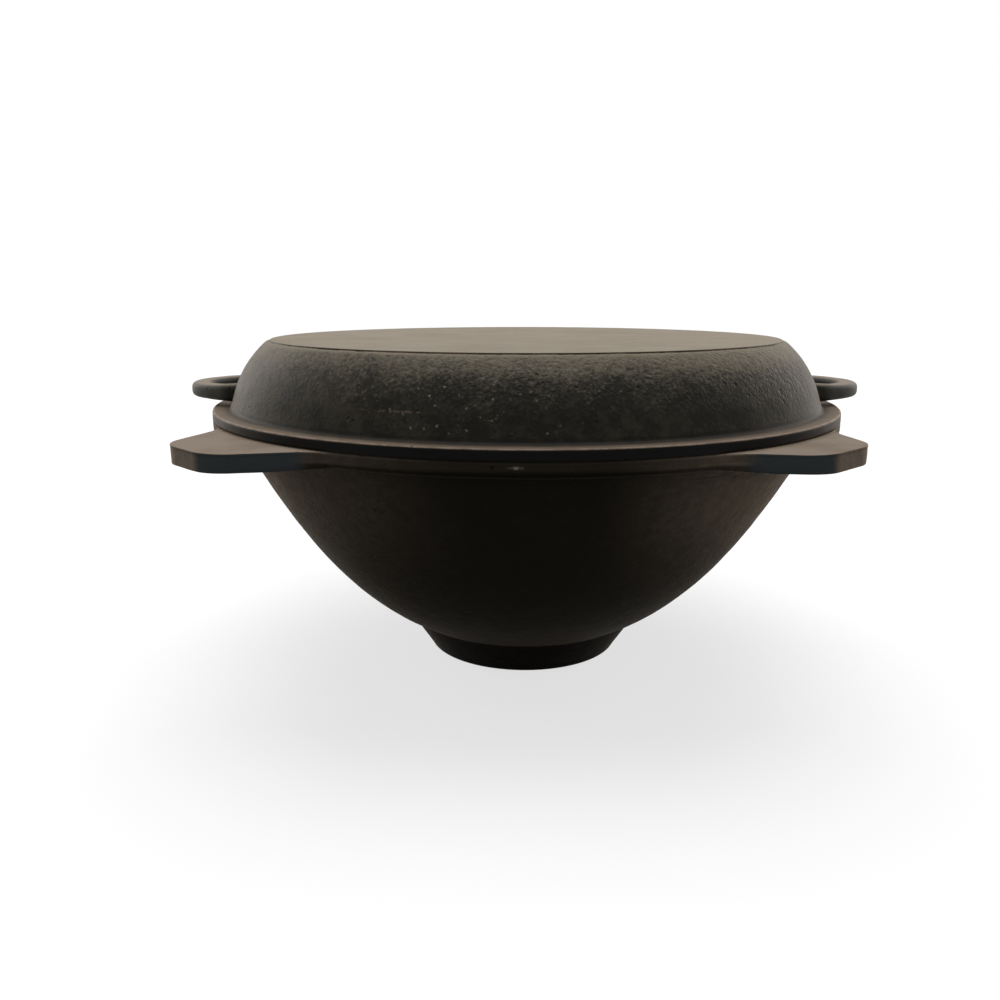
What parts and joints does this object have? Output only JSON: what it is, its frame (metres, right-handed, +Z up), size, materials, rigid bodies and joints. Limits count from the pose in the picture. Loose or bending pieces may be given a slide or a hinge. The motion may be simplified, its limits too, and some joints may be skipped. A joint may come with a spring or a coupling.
{
  "type": "kazan",
  "caption": "Cast-iron stewing pot with a tapered round bowl, a narrow flat foot and flat ears, covered by an upturned frying pan with loop handles as its lid.",
  "frame": {"origin": "under the middle of the foot, in the plane that the pot stands on, which is the middle of the object's footprint", "axes": "+Z up along the pot's axis; X runs through the lid's two loop handles; the pot's ears lie between X and Y"},
  "size_m": [0.407, 0.37, 0.1936],
  "materials": {
    "pot_iron": "rough sand-cast, blackened, slightly worn at the edges",
    "lid_iron": "rough sand-cast charcoal wall with a smoother grey-brown top disc"
  },
  "bodies": {
    "root": {"pot": "pot_iron", "lid": "lid_iron"}
  },
  "joints": []
}
